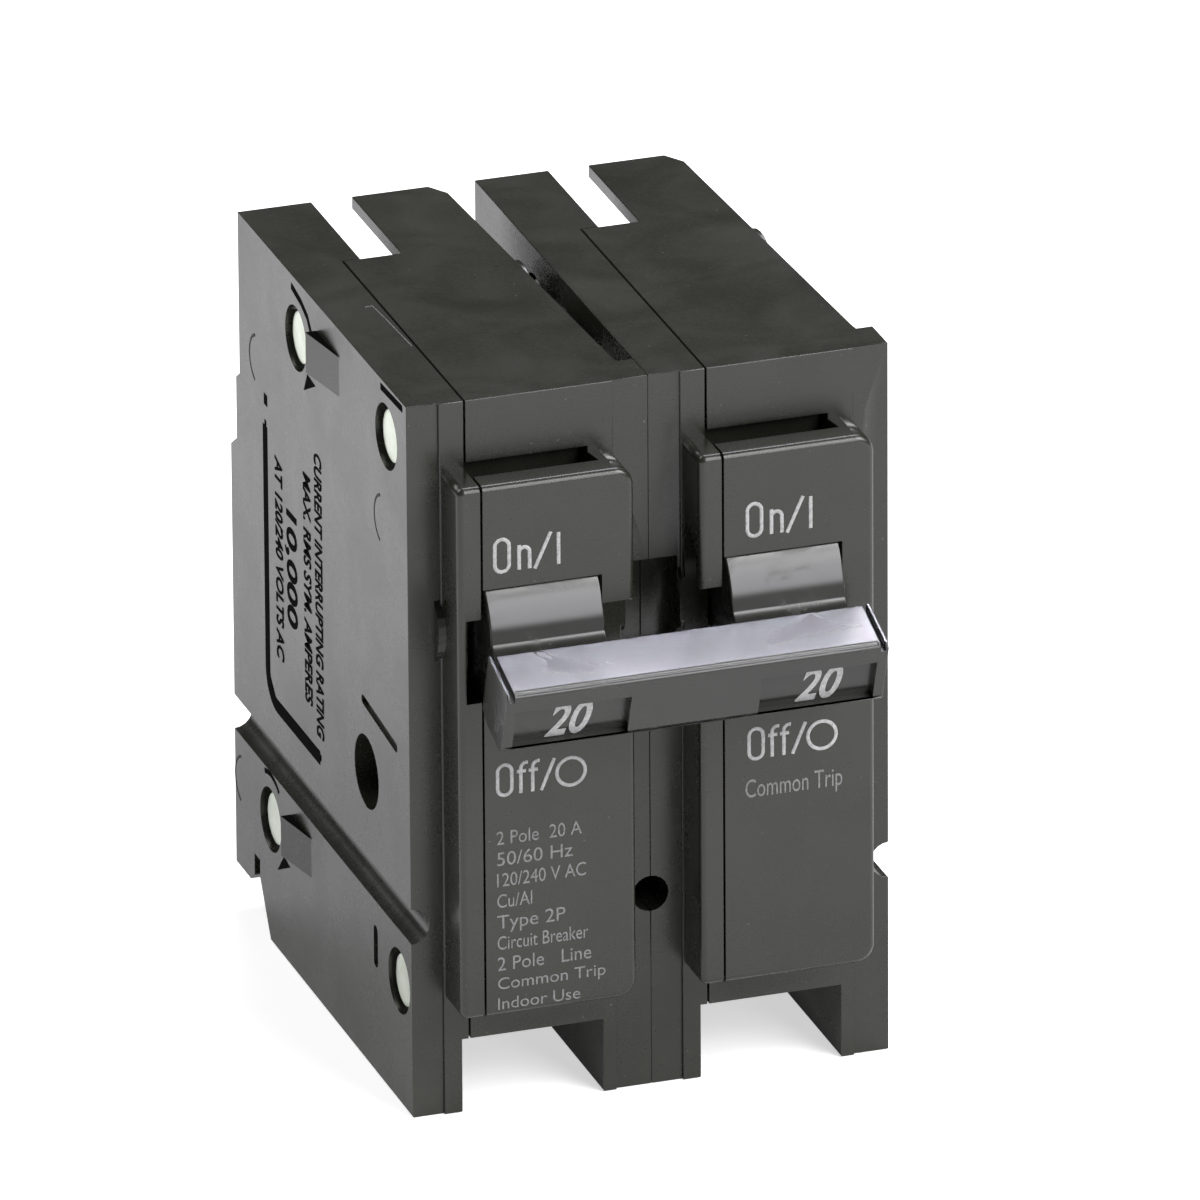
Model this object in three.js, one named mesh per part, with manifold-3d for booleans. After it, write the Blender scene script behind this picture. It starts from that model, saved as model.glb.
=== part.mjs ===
// Two-pole plug-on circuit breaker, 1 inch per pole. Millimetres, +Z up, front towards -Y.
// Every shape is written in "case" coordinates: x from the left face of a pole, y back from
// the front face, z up from the feet. The last lines centre the whole assembly on its box.
import * as THREE from 'three';
import { mergeVertices } from 'three/addons/utils/BufferGeometryUtils.js';
import Module from 'manifold-3d';

const wasm = await Module();
wasm.setup();

// ---------- driving dimensions ----------
const PITCH = 25.4;            // pole width, and the step from pole to pole
const HEIGHT = 77.6;           // feet to top
const DEPTH = 58;              // front face to back face
const SEAM = 6;                // x where the cover half meets the base half
const INNER = 3.2;             // x where the cover's inside starts
const WALL_X = 20;             // x where the base's right wall starts
const STRIP = 4.6;             // depth of the full-width front strip
const BAND = { x0: 3.3, x1: 21.6, proud: 0.3 };
const PANEL = { x0: 3.5, x1: 22.1, z0: 12.5, z1: 70.3, front: -5.5, leftCorner: 0.8, rightCorner: 2 };
const POCKET = { front: -2.5, back: 1.2, z0: 66, z1: 70.9, end: 19.2, lean: 0.6 };
const LEG = { left: 5.2, right: 20.2, top: 8, back: 44 };
const CHANNEL = { r: 1.9, z: 21 };
const PIVOT = { y: 2, z: 53 };          // handle axis
const BARREL = 9.4;
const TRUNNION = 1.8;
const HANDLE = { x0: 6.3, x1: 18.3, tip: -15.4, off: 18 };
const BAR = { x0: 5.3, x1: 45.5, back: 10.6, front: 17.1, top: 4.2, bottom: -3.3, window: 0.9 };
const BAR_WINDOWS = { spans: [[6.4, 18.5], [32.3, 44.4]], t0: -2.6, t1: 2 };   // recesses in its front
const NOTCH = { z0: 47, z1: 56 };       // open sides of the handle window
const RIVETS = [[35.7, 71.1], [6.5, 71.9], [46.1, 13.7], [4.1, 13.4]];
const RECESS = { r: 3.45, depth: 1.2 };
const RAMPS = [[21.3, 28.8, 70.2, 74.6], [32.3, 39, 12.8, 17.2]];   // y and z spans
const RAMP_RISE = 1.2;
const MARK = 0.5;              // depth of the shallow marks on the left face
const BOSS_END = 24.3;
const BUSHING = { y: 14, z: 32.3, r: 3.9 };
const SLOT = { x0: 7.9, x1: 12.2, y: 38.6 };
const JAW_ROOM = { x1: 19.4, z0: 54, z1: 76.2 };
const ARM = { y: 14, z: 50, on: 33, swing: 22 };
const TRIP = { y: 31, z: 20 };
const CRADLE = { y: 24, z: 41 };
const ARMATURE = { y: 36, z: 41.5 };
const TERMINAL = { x: 12.7, z: 5.4 };
const SCREW = { y: 18.6, r: 2.2, head: 4.1 };
const CALIBRATION = { x: 12, z: 24, r: 1.1, head: 2.2 };
const FIT = 0.3;               // clearance between pieces
const ROUND = 28;              // sides of a large round

// ---------- materials ----------
const paint = (color, roughness, metalness) =>
  new THREE.MeshStandardMaterial({ color, roughness, metalness });
const thermoset = paint(0x2c2c28, 0.5, 0);
const toggle = paint(0x23232a, 0.28, 0);
const copper = paint(0xb56a45, 0.35, 1);
const silver = paint(0xd8d6cf, 0.3, 1);
const steel = paint(0x9c9c98, 0.35, 1);
const bimetalPair = paint(0xa89b86, 0.4, 1);

// ---------- shapes ----------
const rad = THREE.MathUtils.degToRad;

function outline(points) {
  return new THREE.Shape(points.map(([u, v]) => new THREE.Vector2(u, v)));
}

function extrude(shape, length) {
  return new THREE.ExtrudeGeometry(shape, { depth: length, bevelEnabled: false, curveSegments: 10 });
}

// A (y, z) outline carried along x.
function alongX(shape, x0, x1) {
  const turn = new THREE.Matrix4().makeBasis(
    new THREE.Vector3(0, 1, 0), new THREE.Vector3(0, 0, 1), new THREE.Vector3(1, 0, 0));
  return extrude(shape, x1 - x0).applyMatrix4(turn).translate(x0, 0, 0);
}

// An (x, z) outline carried along y.
function alongY(shape, y0, y1) {
  const turn = new THREE.Matrix4().makeBasis(
    new THREE.Vector3(1, 0, 0), new THREE.Vector3(0, 0, 1), new THREE.Vector3(0, -1, 0));
  return extrude(shape, y1 - y0).applyMatrix4(turn).translate(0, y1, 0);
}

// An (x, y) outline carried along z.
function alongZ(shape, z0, z1) {
  return extrude(shape, z1 - z0).translate(0, 0, z0);
}

function block(x0, x1, y0, y1, z0, z1) {
  return new THREE.BoxGeometry(x1 - x0, y1 - y0, z1 - z0)
    .translate((x0 + x1) / 2, (y0 + y1) / 2, (z0 + z1) / 2);
}

function rodX(r, x0, x1, y, z, sides = ROUND) {
  return new THREE.CylinderGeometry(r, r, x1 - x0, sides)
    .rotateZ(-Math.PI / 2).translate((x0 + x1) / 2, y, z);
}

function rodY(r, y0, y1, x, z, sides = ROUND) {
  return new THREE.CylinderGeometry(r, r, y1 - y0, sides).translate(x, (y0 + y1) / 2, z);
}

// A profile of [radius, x] points turned round an axis along x.
function turnedX(profile, y, z, sides = ROUND) {
  const points = profile.map(([r, x]) => new THREE.Vector2(r, x));
  return new THREE.LatheGeometry(points, sides).rotateZ(-Math.PI / 2).translate(0, y, z);
}

function turnedY(profile, x, z, sides = ROUND) {
  const points = profile.map(([r, y]) => new THREE.Vector2(r, y));
  return new THREE.LatheGeometry(points, sides).translate(x, 0, z);
}

// A rectangle with one corner radius on its left and another on its right.
function roundedRect(u0, u1, v0, v1, left, right) {
  const shape = new THREE.Shape();
  shape.moveTo(u0 + left, v0);
  shape.lineTo(u1 - right, v0);
  shape.absarc(u1 - right, v0 + right, right, -Math.PI / 2, 0);
  shape.lineTo(u1, v1 - right);
  shape.absarc(u1 - right, v1 - right, right, 0, Math.PI / 2);
  shape.lineTo(u0 + left, v1);
  shape.absarc(u0 + left, v1 - left, left, Math.PI / 2, Math.PI);
  shape.lineTo(u0, v0 + left);
  shape.absarc(u0 + left, v0 + left, left, Math.PI, Math.PI * 1.5);
  return shape;
}

// A straight groove with round ends, from one point to the other.
function pill([u0, v0], [u1, v1], r) {
  const angle = Math.atan2(v1 - v0, u1 - u0);
  const shape = new THREE.Shape();
  shape.absarc(u1, v1, r, angle - Math.PI / 2, angle + Math.PI / 2);
  shape.absarc(u0, v0, r, angle + Math.PI / 2, angle + Math.PI * 1.5);
  return shape;
}

// ---------- joining and cutting ----------
function solid(geometry) {
  const bare = geometry.clone();
  bare.deleteAttribute('normal');
  bare.deleteAttribute('uv');
  const merged = mergeVertices(bare, 1e-4);
  return new wasm.Manifold(new wasm.Mesh({
    numProp: 3,
    vertProperties: new Float32Array(merged.attributes.position.array),
    triVerts: new Uint32Array(merged.index.array),
  }));
}

const join = (first, ...rest) => rest.reduce((sum, piece) => sum.add(solid(piece)), first);
const cut = (first, ...rest) => rest.reduce((left, piece) => left.subtract(solid(piece)), first);

function geometryOf(body) {
  const mesh = body.getMesh();
  const geometry = new THREE.BufferGeometry();
  geometry.setAttribute('position', new THREE.BufferAttribute(mesh.vertProperties, 3));
  geometry.setIndex(new THREE.BufferAttribute(mesh.triVerts, 1));
  return geometry;
}

function piece(name, shape, material) {
  const geometry = shape.isBufferGeometry ? shape : geometryOf(shape);
  const mesh = new THREE.Mesh(geometry, material);
  mesh.name = name;
  return mesh;
}

// ---------- case ----------
// Side view of one pole: feet in front, rail hook at the lower back, stab end at the upper back.
function sideOutline() {
  return outline([
    [0, 0], [46.5, 0], [49.9, 5.6], [49.9, 7.6], [51.7, 7.6], [51.7, 5.2], [53, 4.2],
    [DEPTH, 4.2], [DEPTH, 50.8], [55.9, 52.2], [55.9, 59], [54.7, 59.8], [54.7, HEIGHT],
    [0, HEIGHT],
  ]);
}

// Plan of one pole: full width along the front strip, then a right wall that leans inwards.
function planOutline() {
  return outline([
    [0, 0], [PITCH, 0], [PITCH, STRIP], [23.6, STRIP], [21.8, 52.4], [20.4, 54.7],
    [20.4, 56], [21.7, DEPTH], [0, DEPTH],
  ]);
}

function frontPanel() {
  const { x0, x1, z0, z1, front, leftCorner, rightCorner } = PANEL;
  return alongY(roundedRect(x0, x1, z0, z1, leftCorner, rightCorner), front, 1);
}

// Narrow pocket in the panel's upper edge, with a leaning end wall.
function panelPocket() {
  const { front, back, z0, z1, end, lean } = POCKET;
  return alongZ(outline([[SEAM - 1, front], [end, front], [end - lean, back], [SEAM - 1, back]]), z0, z1);
}

// Wedges that stand proud of the left face beside two of the rivets.
function sideRamps() {
  return RAMPS.map(([y0, y1, z0, z1]) => alongZ(
    outline([[0.4, y0], [0.05, y0], [-RAMP_RISE, y1], [0.4, y1]]), z0, z1));
}

function poleBlock() {
  const body = solid(alongX(sideOutline(), 0, PITCH)).intersect(solid(alongZ(planOutline(), 0, HEIGHT)));
  const bosses = RIVETS.map(([y, z]) => rodX(Math.min(4.9, y - 0.1), 21, BOSS_END, y, z));
  return join(body, frontPanel(), block(BAND.x0, BAND.x1, -BAND.proud, 1, 0, HEIGHT), ...bosses,
    ...sideRamps());
}

function chamberOutline() {
  return outline([
    [2.2, 12.5], [50, 12.5], [54, 20], [54, 49.5], [50, 52], [36.2, 52], [36.2, 74.6], [2.2, 74.6],
  ]);
}

// Pillars that the rivets pass through, left standing in the mechanism room.
function pillars(x0, x1) {
  return RIVETS.map(([y, z]) => rodX(3.6, x0, x1, y, z));
}

function mechanismRoom(x0, x1) {
  return cut(solid(alongX(chamberOutline(), x0, x1)), ...pillars(x0 - 1, x1 + 1));
}

// Open space between the two legs, reached from the front and from below. It is higher behind
// the apron, where the terminal screw's head is.
function wireSpace() {
  return [
    block(LEG.left, LEG.right, -2, LEG.back, -1, LEG.top),
    block(LEG.left, LEG.right, 12, LEG.back, 1, LEG.top + 2.2),
  ];
}

// Engraved line round two sides of the label field, with a round corner.
function labelFrame() {
  const corner = { y: 43.2, z: 30.6, outer: 3.3, inner: 2.65 };
  const shape = new THREE.Shape();
  shape.moveTo(corner.y + corner.outer, 58);
  shape.lineTo(corner.y + corner.outer, corner.z);
  shape.absarc(corner.y, corner.z, corner.outer, 0, -Math.PI / 2, true);
  shape.lineTo(28.8, corner.z - corner.outer);
  shape.lineTo(28.8, corner.z - corner.inner);
  shape.lineTo(corner.y, corner.z - corner.inner);
  shape.absarc(corner.y, corner.z, corner.inner, -Math.PI / 2, 0);
  shape.lineTo(corner.y + corner.inner, 58);
  return alongX(shape, -1, MARK);
}

function sideRecesses() {
  return [
    ...RIVETS.map(([y, z]) => rodX(RECESS.r, -1, RECESS.depth, y, z)),
    alongX(pill([4.4, 38.9], [14.9, 39.9], 0.5), -1, MARK),
    alongX(pill([11.6, 12.4], [11.6, 15.7], 0.65), -1, MARK),
    labelFrame(),
  ];
}

function channels() {
  const run = (x) => rodY(CHANNEL.r, -8, DEPTH + 2, x, CHANNEL.z, 20);
  return [run(0), run(PITCH)];
}

// Bores for the rivet shanks, opened out for the domed heads where the front strip is in the way.
function rivetBores() {
  return [
    ...RIVETS.map(([y, z]) => rodX(2, -1, PITCH + 1, y, z, 16)),
    ...RIVETS.map(([y, z]) => rodX(RECESS.r, BOSS_END, PITCH + 1, y, z)),
  ];
}

// Window for the handle barrel. On the side next to the other pole it is open all the way for
// the bar. The left pole has a shallow notch on its outer side too.
function handleWindow(innerSide) {
  const notch = (x0, x1) => block(x0, x1, PANEL.front - FIT, -1, NOTCH.z0, NOTCH.z1);
  const strip = (x0, x1) => block(x0, x1, -1.1, 2.6, NOTCH.z0, NOTCH.z1 + 1.6);
  const window = rodX(BARREL + FIT, SEAM, HANDLE.x1 + FIT, PIVOT.y, PIVOT.z, 48);
  if (innerSide === 'left') {
    return [window, notch(-1, SEAM + 0.5), strip(-1, 3), innerArc(-1, SEAM + 0.5)];
  }
  return [window, notch(PANEL.x0 + 0.8, SEAM + 0.5), notch(HANDLE.x1, PITCH + 1),
    strip(22.6, PITCH + 1), innerArc(HANDLE.x1, PITCH + 1)];
}

// Round clearance behind the panel's face, on the side where the bar crosses to the next pole.
function innerArc(x0, x1) {
  const disc = solid(rodX(BARREL, x0, x1, PIVOT.y, PIVOT.z, 40));
  return geometryOf(disc.intersect(solid(block(x0 - 1, x1 + 1, -4.4, -1, 40, 66))));
}

// The cover takes everything left of the seam, and the whole left finger of the stab slot.
function coverSpace() {
  return join(solid(block(-2, SEAM, -9, DEPTH + 1, -1, HEIGHT + 1)),
    block(SEAM - 1, SLOT.x0, SLOT.y, DEPTH + 1, JAW_ROOM.z0, HEIGHT + 1));
}

function caseCover(side) {
  const innerSide = side === 'left' ? 'right' : 'left';
  const half = poleBlock().intersect(coverSpace());
  let body = half.subtract(mechanismRoom(INNER, SEAM + 1));
  body = join(body,
    rodX(BUSHING.r + 1.6, INNER - 0.5, SEAM, BUSHING.y, BUSHING.z),
    rodX(4.2, INNER - 0.5, SEAM - 0.2, PIVOT.y + 0.6, PIVOT.z));
  return cut(body, ...wireSpace(), ...sideRecesses(), ...channels(), ...rivetBores(),
    ...handleWindow(innerSide),
    rodX(BUSHING.r, -1, 5.2, BUSHING.y, BUSHING.z),
    rodX(TRUNNION + FIT, 3.9, SEAM + 1, PIVOT.y, PIVOT.z),
    ...(side === 'right' ? [tripPassage(-1, SEAM + 1)] : []));
}

function tripPassage(x0, x1) {
  return rodX(2.4, x0, x1, TRIP.y, TRIP.z, 20);
}

// Room for the stab jaw: open to the back, and up through the slot between the two fingers.
function jawRoom() {
  return [
    block(SLOT.x0, JAW_ROOM.x1, SLOT.y, DEPTH + 1, JAW_ROOM.z0, JAW_ROOM.z1),
    block(SLOT.x0, SLOT.x1, SLOT.y, DEPTH + 1, JAW_ROOM.z1 - 1, HEIGHT + 1),
    block(8.7, 13.3, 31, SLOT.y + 1, 66.5, 68.5),
  ];
}

function caseBase(side) {
  const innerSide = side === 'left' ? 'right' : 'left';
  const half = poleBlock().subtract(coverSpace());
  let body = half.subtract(mechanismRoom(SEAM - 1, WALL_X));
  body = join(body, rodX(3.8, WALL_X - 0.4, 23, PIVOT.y + 0.4, PIVOT.z));
  return cut(body, ...wireSpace(), ...channels(), ...rivetBores(), ...jawRoom(),
    ...handleWindow(innerSide),
    strapSlot(), ...calibrationHole(), panelPocket(),
    rodX(TRUNNION + FIT, WALL_X - 2, 21.8, PIVOT.y, PIVOT.z),
    ...(side === 'left' ? [tripPassage(WALL_X - 1, PITCH + 1), bushingHole()] : []));
}

// Slot that the load strap passes through on its way down to the terminal.
function strapSlot() {
  return block(6.2, 19.2, 29.1, 31.5, LEG.top - 1, 13);
}

// Hole for the calibration screw in the back wall, opened out for its head.
function calibrationHole() {
  const { x, z, r, head } = CALIBRATION;
  return [rodY(r + 0.4, 53, DEPTH + 1, x, z, 16), rodY(head + 0.4, 55, DEPTH + 1, x, z, 20)];
}

function bushingHole() {
  return rodX(BUSHING.r, WALL_X - 1, PITCH + 1, BUSHING.y, BUSHING.z);
}

// ---------- handle group (drawn pointing straight forward, about its own axis) ----------
function handlePiece() {
  const { x0, x1, tip } = HANDLE;
  const front = solid(rodX(BARREL, x0, x1, 0, 0, 48))
    .intersect(solid(block(x0 - 1, x1 + 1, -12, 3.4, -12, 12)));
  const stem = new THREE.Shape();
  stem.moveTo(-7, -2.2);
  stem.lineTo(tip, -2.2);
  stem.lineTo(tip, 3.1);
  stem.lineTo(-10.6, 3.1);
  stem.quadraticCurveTo(-9.3, 3.2, -8.4, 3.9);
  stem.lineTo(-7, 3.9);
  const hub = join(front, alongX(stem, x0, x1), rodX(3.2, x0, x1, 0, 0, 24));
  const trunnions = join(hub, rodX(TRUNNION, 4.2, x0 + 1, 0, 0, 20), rodX(TRUNNION, x1 - 1, 21.5, 0, 0, 20));
  return cut(trunnions, block(9.2, 15.4, 0.9, 5, -12, 12));
}

function handleBar() {
  const { x0, x1, back, front, top, bottom, window } = BAR;
  const shape = new THREE.Shape();
  shape.moveTo(-back, bottom + 0.8);
  shape.lineTo(-back - 1.6, bottom);
  shape.lineTo(-front + 0.5, bottom);
  shape.lineTo(-front, bottom + 0.6);
  shape.lineTo(-front, top - 0.5);
  shape.lineTo(-front + 0.5, top);
  shape.lineTo(-back, top);
  const body = solid(alongX(shape, x0, x1));
  const rooms = [0, PITCH].map((dx) => block(
    HANDLE.x0 - FIT + dx, HANDLE.x1 + FIT + dx, HANDLE.tip - FIT, -back + 1, -2.5, 3.4));
  const { spans, t0, t1 } = BAR_WINDOWS;
  const windows = spans.map(([left, right]) => block(
    left, right, -front - 1, -front + window, t0, t1));
  return cut(body, ...rooms, ...windows);
}

// ---------- current path ----------
// Contact arm drawn in its closed position along +y from its own pivot, then turned to open.
function contactArm() {
  const plate = alongX(outline([
    [-2.4, -3.6], [1.8, -3.6], [3.2, -1.2], [16.2, -0.4], [16.6, 1.1], [3, 1.8], [1.2, 2.6], [-1.8, 2.6],
  ]), 10, 12.4);
  return cut(solid(plate), rodX(0.9, 9, 13, 0, 0, 16));
}

function movingContact() {
  return new THREE.CylinderGeometry(1.6, 1.6, 1.2, 20).rotateX(Math.PI / 2)
    .translate(11.2, 14.4, 2);
}

// A (y, z) point given along and above the closed contact arm.
function byClosedArm(along, above) {
  const angle = rad(ARM.on);
  return [
    ARM.y + along * Math.cos(angle) - above * Math.sin(angle),
    ARM.z + along * Math.sin(angle) + above * Math.cos(angle),
  ];
}

function lineTerminal() {
  const strap = outline([
    byClosedArm(11.5, 4.25), byClosedArm(18, 4.25), [29.5, 66.9], [41, 66.9], [41, 68.1], [28.8, 68.1],
    byClosedArm(18, 5.45), byClosedArm(11.5, 5.45),
  ]);
  const arm = alongX(strap, 9, 13);
  const jaw = alongZ(outline([
    [8.15, 39.4], [12.15, 39.4], [12.15, 49.6], [13, 52.6], [12.4, 52.8], [11.35, 49.8], [11.35, 40.4],
    [8.95, 40.4], [8.95, 49.8], [8.85, 52.8], [8.25, 52.8], [8.15, 49.6],
  ]), 56, 68.1);
  return join(solid(arm), jaw);
}

function jawSpring() {
  return alongZ(outline([
    [12.55, 41], [14.6, 41], [14.6, 39.2], [15.3, 39.2], [15.3, 41.7], [13.25, 41.7], [13.25, 47.8],
    [14.1, 49.6], [13.5, 49.9], [12.55, 48],
  ]), 59, 65);
}

function stationaryContact() {
  return new THREE.CylinderGeometry(1.7, 1.7, 1.3, 20).rotateX(Math.PI / 2);
}

function arcPlate() {
  const plate = solid(block(6.4, 19.7, 17.9, 21.4, -0.4, 0.4));
  return cut(plate, block(9.6, 12.8, 17, 19.3, -1, 1));
}

// ---------- trip parts ----------
function cradle() {
  const plate = alongX(outline([
    [-10, 2.4], [-10.4, 0.4], [-3, -2.6], [2.6, -2.6], [9.6, -12.6], [10.9, -12.6], [10.9, -11.2],
    [4, 1], [1.6, 2.8],
  ]), 15.8, 17.2);
  return cut(solid(plate), rodX(1, 15, 18, 0, 0, 16));
}

function coil(turns, radius, length, wire) {
  const steps = turns * 10;
  const points = Array.from({ length: steps + 1 }, (_, i) => {
    const angle = (i / steps) * turns * 2 * Math.PI;
    return new THREE.Vector3(
      radius * Math.cos(angle), (i / steps) * length, radius * Math.sin(angle));
  });
  const section = new THREE.Shape().absarc(0, 0, wire, 0, 2 * Math.PI);
  return new THREE.ExtrudeGeometry(section, {
    steps, curveSegments: 3, bevelEnabled: false, extrudePath: new THREE.CatmullRomCurve3(points),
  });
}

function bimetalStrip() {
  return block(8.5, 15.5, 40.2, 41.2, 14.4, 45);
}

function magnetYoke() {
  return alongZ(outline([
    [7.2, 38.4], [8.2, 38.4], [8.2, 42.5], [15.8, 42.5], [15.8, 38.4], [16.8, 38.4],
    [16.8, 43.6], [7.2, 43.6],
  ]), 22, 33);
}

// Drawn hanging down from its own hinge, with a window for the cradle's tip.
function armature() {
  return cut(solid(block(7.4, 18.4, -0.6, 0.6, -21, -0.6)), block(15.4, 17.6, -2, 2, -15.4, -11.4));
}

function braid() {
  const route = new THREE.CatmullRomCurve3([
    new THREE.Vector3(8.4, 15.6, 46.6), new THREE.Vector3(8.1, 20, 47.6),
    new THREE.Vector3(8.1, 27, 50), new THREE.Vector3(8.1, 35, 49.6),
    new THREE.Vector3(9, 39, 47), new THREE.Vector3(10.4, 39.3, 44.2),
  ]);
  const section = new THREE.Shape().absarc(0, 0, 0.75, 0, 2 * Math.PI);
  return new THREE.ExtrudeGeometry(section, {
    steps: 22, curveSegments: 4, bevelEnabled: false, extrudePath: route,
  });
}

function tripBar() {
  const shaft = solid(rodX(1.5, 7.2, 2 * PITCH - 6.4, 0, 0, 20));
  const paddles = [0, PITCH].map((dx) => block(12 + dx, 14.6 + dx, -0.9, 1.1, 0, 8.5));
  return join(shaft, ...paddles);
}

// ---------- load terminal ----------
function loadStrap() {
  const strap = alongX(outline([
    [29.6, 0.8], [31.1, 0.8], [31.1, 12.9], [41.2, 12.9], [41.2, 14.1], [29.6, 14.1],
  ]), 8, 17.4);
  return cut(solid(strap), rodY(SCREW.r + 0.35, 28, 33, TERMINAL.x, TERMINAL.z, 24));
}

function wireClamp() {
  const plate = solid(block(7.4, 18, 22.2, 23.5, 1.4, 7.7));
  const lips = join(plate, block(7.4, 8.6, 23, 24.6, 1.4, 7.7), block(16.8, 18, 23, 24.6, 1.4, 7.7));
  return cut(lips, rodY(SCREW.r + 0.35, 21, 25, TERMINAL.x, TERMINAL.z, 24));
}

function terminalScrew() {
  const { r, head } = SCREW;
  const body = solid(turnedY([
    [0, 0], [head - 0.5, 0], [head, 0.5], [head, 3.3], [r, 3.3], [r, 15.4], [r - 0.6, 16], [0, 16],
  ], 0, 0, 24));
  return cut(body, block(-5, 5, -1, 1.2, -0.5, 0.5));
}

function calibrationScrew() {
  const { x, z, r, head } = CALIBRATION;
  const body = solid(turnedY([[0, 44.2], [r, 44.6], [r, 55.3], [head, 55.3], [head, 57], [0, 57]],
    x, z, 16));
  return cut(body, block(x - 3, x + 3, 56.4, 58, z - 0.3, z + 0.3));
}

// ---------- fasteners ----------
function rivet([y, z]) {
  return turnedX([
    [0, 0.7], [1.1, 0.75], [1.6, 0.3], [2.3, 0.2], [3.05, 0.55], [3.1, RECESS.depth - 0.05],
    [1.7, RECESS.depth - 0.05], [1.7, BOSS_END + 0.05], [3.1, BOSS_END + 0.05], [2.9, BOSS_END + 0.5],
    [1.7, BOSS_END + 0.9], [0, BOSS_END + 1],
  ], y, z, 24);
}

function joiningBushing() {
  return solid(rodX(BUSHING.r - 0.15, WALL_X + 0.4, PITCH + 5, BUSHING.y, BUSHING.z))
    .subtract(solid(rodX(2.6, WALL_X - 1, PITCH + 6, BUSHING.y, BUSHING.z)));
}

// ---------- placing ----------
function at(x, y, z, degrees, ...meshes) {
  const group = new THREE.Group();
  group.position.set(x, y, z);
  group.rotation.x = rad(degrees);
  group.add(...meshes);
  return group;
}

function stationaryAt(name) {
  const disc = piece(name, stationaryContact(), silver);
  disc.position.set(11, 14.4, 3.45);
  return at(0, ARM.y, ARM.z, ARM.on, disc);
}

function springAt(name) {
  return at(14.1, 17.5, 47.6, -28, piece(name, coil(7, 0.95, 13.5, 0.24), steel));
}

function pole(side, x) {
  const named = (name) => `${side}_${name}`;
  const group = new THREE.Group();
  group.position.x = x;
  group.add(
    piece(named('case_cover'), caseCover(side), thermoset),
    piece(named('case_base'), caseBase(side), thermoset),
    at(0, PIVOT.y, PIVOT.z, HANDLE.off, piece(named('handle'), handlePiece(), toggle)),
    at(0, ARM.y, ARM.z, ARM.on - ARM.swing,
      piece(named('contact_arm'), contactArm(), copper),
      piece(named('moving_contact'), movingContact(), silver)),
    piece(named('line_terminal'), lineTerminal(), copper),
    piece(named('jaw_spring'), jawSpring(), steel),
    stationaryAt(named('stationary_contact')),
    at(0, CRADLE.y, CRADLE.z, 0, piece(named('cradle'), cradle(), steel)),
    springAt(named('main_spring')),
    piece(named('bimetal'), bimetalStrip(), bimetalPair),
    piece(named('magnet_yoke'), magnetYoke(), steel),
    at(0, ARMATURE.y, ARMATURE.z, 0, piece(named('armature'), armature(), steel)),
    piece(named('braid'), braid(), copper),
    piece(named('load_strap'), loadStrap(), copper),
    piece(named('wire_clamp'), wireClamp(), steel),
    at(TERMINAL.x, SCREW.y, TERMINAL.z, 0, piece(named('terminal_screw'), terminalScrew(), steel)),
    piece(named('calibration_screw'), calibrationScrew(), steel),
    ...[26, 19, 12].map((angle, i) => at(0, ARM.y, ARM.z, angle,
      piece(named(`arc_plate_${i + 1}`), arcPlate(), steel))),
    ...RIVETS.map((place, i) => piece(named(`rivet_${i + 1}`), rivet(place), silver)),
  );
  return group;
}

const breaker = new THREE.Group();
breaker.add(
  pole('left', 0),
  pole('right', PITCH),
  at(0, PIVOT.y, PIVOT.z, HANDLE.off, piece('handle_bar', handleBar(), toggle)),
  at(0, TRIP.y, TRIP.z, 0, piece('trip_bar', tripBar(), thermoset)),
  piece('joining_bushing', joiningBushing(), steel),
);

breaker.updateMatrixWorld(true);
const bounds = new THREE.Box3().setFromObject(breaker, true);
const centre = bounds.getCenter(new THREE.Vector3());
breaker.position.set(-centre.x, -centre.y, -bounds.min.z);

export default breaker;
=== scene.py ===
"""Two-pole plug-on circuit breaker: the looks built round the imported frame.

Sizes are written in case millimetres: x from the left face, y back from the front face,
z up from the feet. row() turns such a point into the row frame, in metres.
"""
import math

import bmesh
import bpy
from mathutils import Matrix, Vector


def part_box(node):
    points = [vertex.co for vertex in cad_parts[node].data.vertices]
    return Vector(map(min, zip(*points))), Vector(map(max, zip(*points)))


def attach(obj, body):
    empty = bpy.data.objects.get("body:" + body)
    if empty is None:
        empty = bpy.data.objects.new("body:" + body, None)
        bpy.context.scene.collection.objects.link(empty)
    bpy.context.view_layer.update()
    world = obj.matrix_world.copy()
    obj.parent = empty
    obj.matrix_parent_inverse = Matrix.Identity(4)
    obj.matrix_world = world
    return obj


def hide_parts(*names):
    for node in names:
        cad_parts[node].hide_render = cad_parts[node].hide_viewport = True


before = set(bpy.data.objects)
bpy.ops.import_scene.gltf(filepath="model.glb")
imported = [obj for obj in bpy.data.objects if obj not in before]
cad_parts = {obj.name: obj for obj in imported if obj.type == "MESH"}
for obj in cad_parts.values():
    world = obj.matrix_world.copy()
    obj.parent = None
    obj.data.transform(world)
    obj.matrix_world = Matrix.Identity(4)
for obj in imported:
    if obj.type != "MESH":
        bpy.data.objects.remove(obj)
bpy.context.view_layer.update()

MM = 0.001
PITCH = 25.4
DEPTH = 58
HEIGHT = 77.6
SEAM = 6
PANEL_FACE = -5.5
PANEL = {"x0": 3.5, "x1": 22.1, "z0": 12.5, "z1": 70.3}
PIVOT = (2, 53)
OFF_ANGLE = 18
RIVETS = [(35.7, 71.1), (6.5, 71.9), (46.1, 13.7), (4.1, 13.4)]
BOSS_END = 24.3
BAR = {"x0": 5.3, "x1": 45.5, "front": 17.1, "top": 4.2, "window": 0.9}
WEDGES = [(21.3, 28.8, 70.2, 74.6), (32.3, 39, 12.8, 17.2)]
SIDES = {"left": 0.0, "right": PITCH}

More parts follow.
